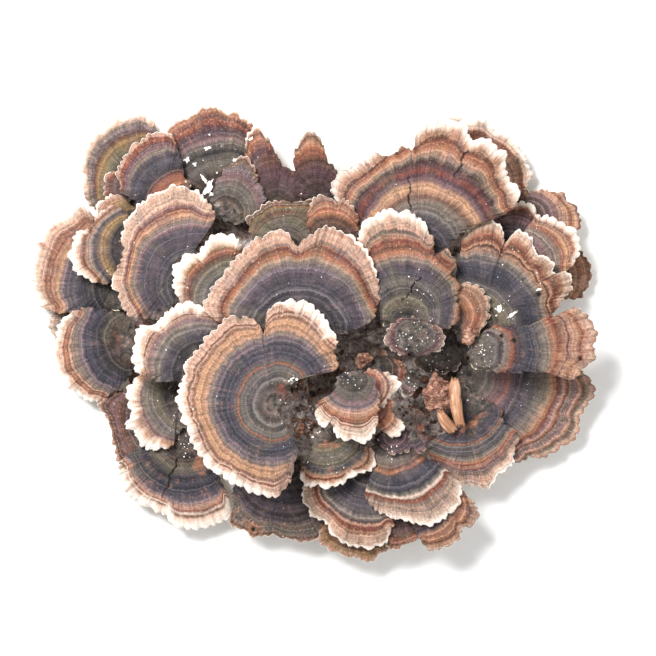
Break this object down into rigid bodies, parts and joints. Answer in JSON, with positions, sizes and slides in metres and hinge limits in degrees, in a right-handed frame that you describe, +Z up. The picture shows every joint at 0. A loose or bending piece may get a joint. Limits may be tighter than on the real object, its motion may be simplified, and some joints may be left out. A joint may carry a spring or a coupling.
{
  "type": "bracket fungus cluster",
  "caption": "dense rosette of thin, colour-zoned bracket fungus caps on one mat of tissue, cut flat underneath so it rests on a surface",
  "frame": {"origin": "middle of the cluster's outline in plan, on the flat cut face it rests on", "axes": "+X along the cluster's longest way, +Y across it on the cut face, +Z up through the caps"},
  "size_m": [0.2276, 0.1836, 0.047],
  "materials": {
    "dark_tissue": "matt, fibrous and lumpy dark tissue",
    "cap_zoned": "velvety, in narrow bands of slate, brown and buff",
    "cap_pale": "velvety, in broad bands of cream and tan",
    "cap_dark": "velvety, in bands of charcoal and olive",
    "rotten_wood": "soft crumbling rotten wood",
    "dry_wood": "dry bare splinters"
  },
  "bodies": {
    "root": {"base_tissue": "dark_tissue", "cap_bottom_cream": "cap_pale", "cap_bottom_dark": "cap_dark", "cap_bottom_left_twin": "cap_dark", "cap_bottom_ochre": "cap_zoned", "cap_bottom_right": "cap_zoned", "cap_bottom_slate": "cap_dark", "cap_centre_large": "cap_zoned", "cap_centre_olive": "cap_zoned", "cap_centre_right": "cap_zoned", "cap_centre_twin_lobed": "cap_zoned", "cap_far_left": "cap_pale", "cap_far_left_under": "cap_zoned", "cap_far_right_small": "cap_zoned", "cap_kidney": "cap_zoned", "cap_left_brown_strip": "cap_zoned", "cap_left_crenate": "cap_pale", "cap_left_frilly": "cap_pale", "cap_left_lower": "cap_zoned", "cap_left_white_edged": "cap_pale", "cap_lower_large": "cap_zoned", "cap_lower_olive": "cap_zoned", "cap_lower_right_tan": "cap_zoned", "cap_right_dark_sliver": "cap_dark", "cap_right_inner_orange": "cap_zoned", "cap_right_lower_large": "cap_zoned", "cap_right_mauve": "cap_zoned", "cap_right_peach": "cap_zoned", "cap_right_slate": "cap_zoned", "cap_right_straight": "cap_zoned", "cap_right_white_edged": "cap_zoned", "cap_scalloped": "cap_pale", "cap_top_grey": "cap_zoned", "cap_top_left_inner": "cap_zoned", "cap_top_left_outer": "cap_pale", "cap_top_left_sliver": "cap_zoned", "cap_top_maroon": "cap_zoned", "cap_top_right_behind": "cap_pale", "cap_top_right_large": "cap_zoned", "cap_top_tongue": "cap_zoned", "cap_top_weathered": "cap_zoned", "cap_upper_left_large": "cap_pale", "cap_white_wing": "cap_zoned", "frill_centre": "cap_pale", "frill_lower": "cap_pale", "frill_upper": "cap_pale", "knob_grey": "cap_dark", "knob_ringed": "cap_dark", "rotten_wood": "rotten_wood", "tongue_brown": "cap_zoned", "tongue_pale": "cap_zoned", "tongue_plum": "cap_zoned", "tongue_purple": "cap_zoned", "tongue_red": "cap_zoned", "tongue_tiny": "cap_zoned", "wood_crumb_left": "rotten_wood", "wood_crumb_right": "rotten_wood", "wood_stick_long": "dry_wood", "wood_stick_short": "dry_wood"}
  },
  "joints": []
}
